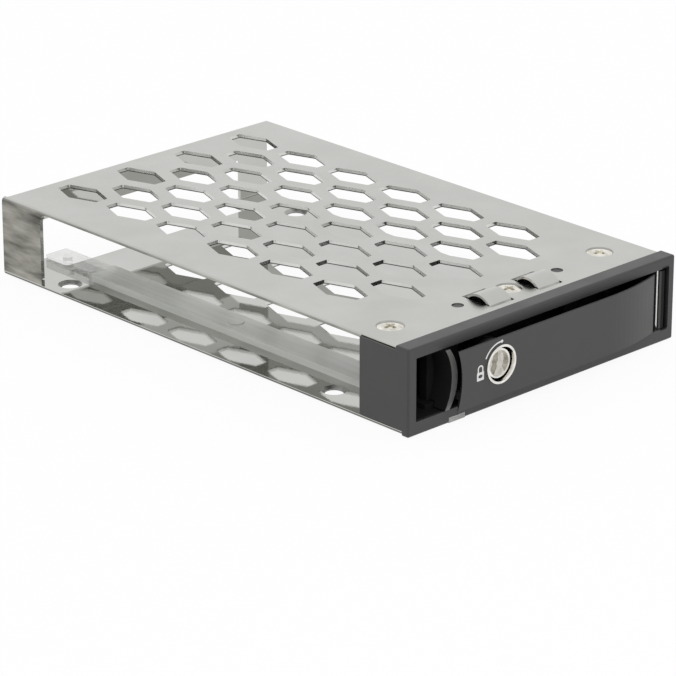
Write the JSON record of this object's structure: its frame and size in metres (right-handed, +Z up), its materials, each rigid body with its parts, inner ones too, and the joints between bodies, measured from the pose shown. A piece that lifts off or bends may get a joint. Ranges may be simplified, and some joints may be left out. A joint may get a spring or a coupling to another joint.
{
  "type": "drive carrier",
  "caption": "Slide-in carrier for a 2.5-inch drive: folded sheet cage with hexagon openings, moulded front with swing-out handle, push latch, key lock and light guide.",
  "frame": {"origin": "middle of the four drive screw holes, on the plane that the carrier rests on", "axes": "+X to the right as seen from the front, +Y to the rear along the drive, +Z up"},
  "size_m": [0.0726, 0.1189, 0.018],
  "materials": {
    "bright_sheet": "bright galvanised sheet",
    "black_moulding": "fine satin black moulding",
    "pin_steel": "ground bright steel",
    "spring_steel": "spring steel",
    "nickel_plate": "warm nickel plate",
    "screw_steel": "nickel-plated steel",
    "clear_acrylic": "clear moulded acrylic"
  },
  "bodies": {
    "carrier": {"cage": "bright_sheet", "bezel": "black_moulding", "hinge_pin": "pin_steel", "handle_spring": "spring_steel", "latch_spring": "spring_steel", "light_guide": "clear_acrylic", "top_screws": "screw_steel", "bottom_screws": "screw_steel"},
    "handle": {"handle": "black_moulding", "lock_sleeve": "nickel_plate", "lock_clip": "spring_steel"},
    "latch": {"release_latch": "black_moulding"},
    "lock": {"lock_core": "nickel_plate", "lock_cam": "pin_steel", "cam_screw": "screw_steel"}
  },
  "joints": [
    {"name": "handle_swing", "type": "hinge", "parent": "carrier", "child": "handle", "pos_m": [0.0326, -0.06145, 0.0089], "axis": [0, 0, 1], "range_deg": [0, 85]},
    {"name": "latch_push", "type": "slide", "parent": "carrier", "child": "latch", "axis": [1, 0, 0], "range_m": [0, 0.001], "stiffness_N_per_m": 300, "springref_m": -0.002, "deforming": ["latch_spring"]},
    {"name": "lock_turn", "type": "hinge", "parent": "handle", "child": "lock", "pos_m": [-0.0145, -0.0625, 0.0094], "axis": [0, -1, 0], "range_deg": [0, 90]}
  ]
}
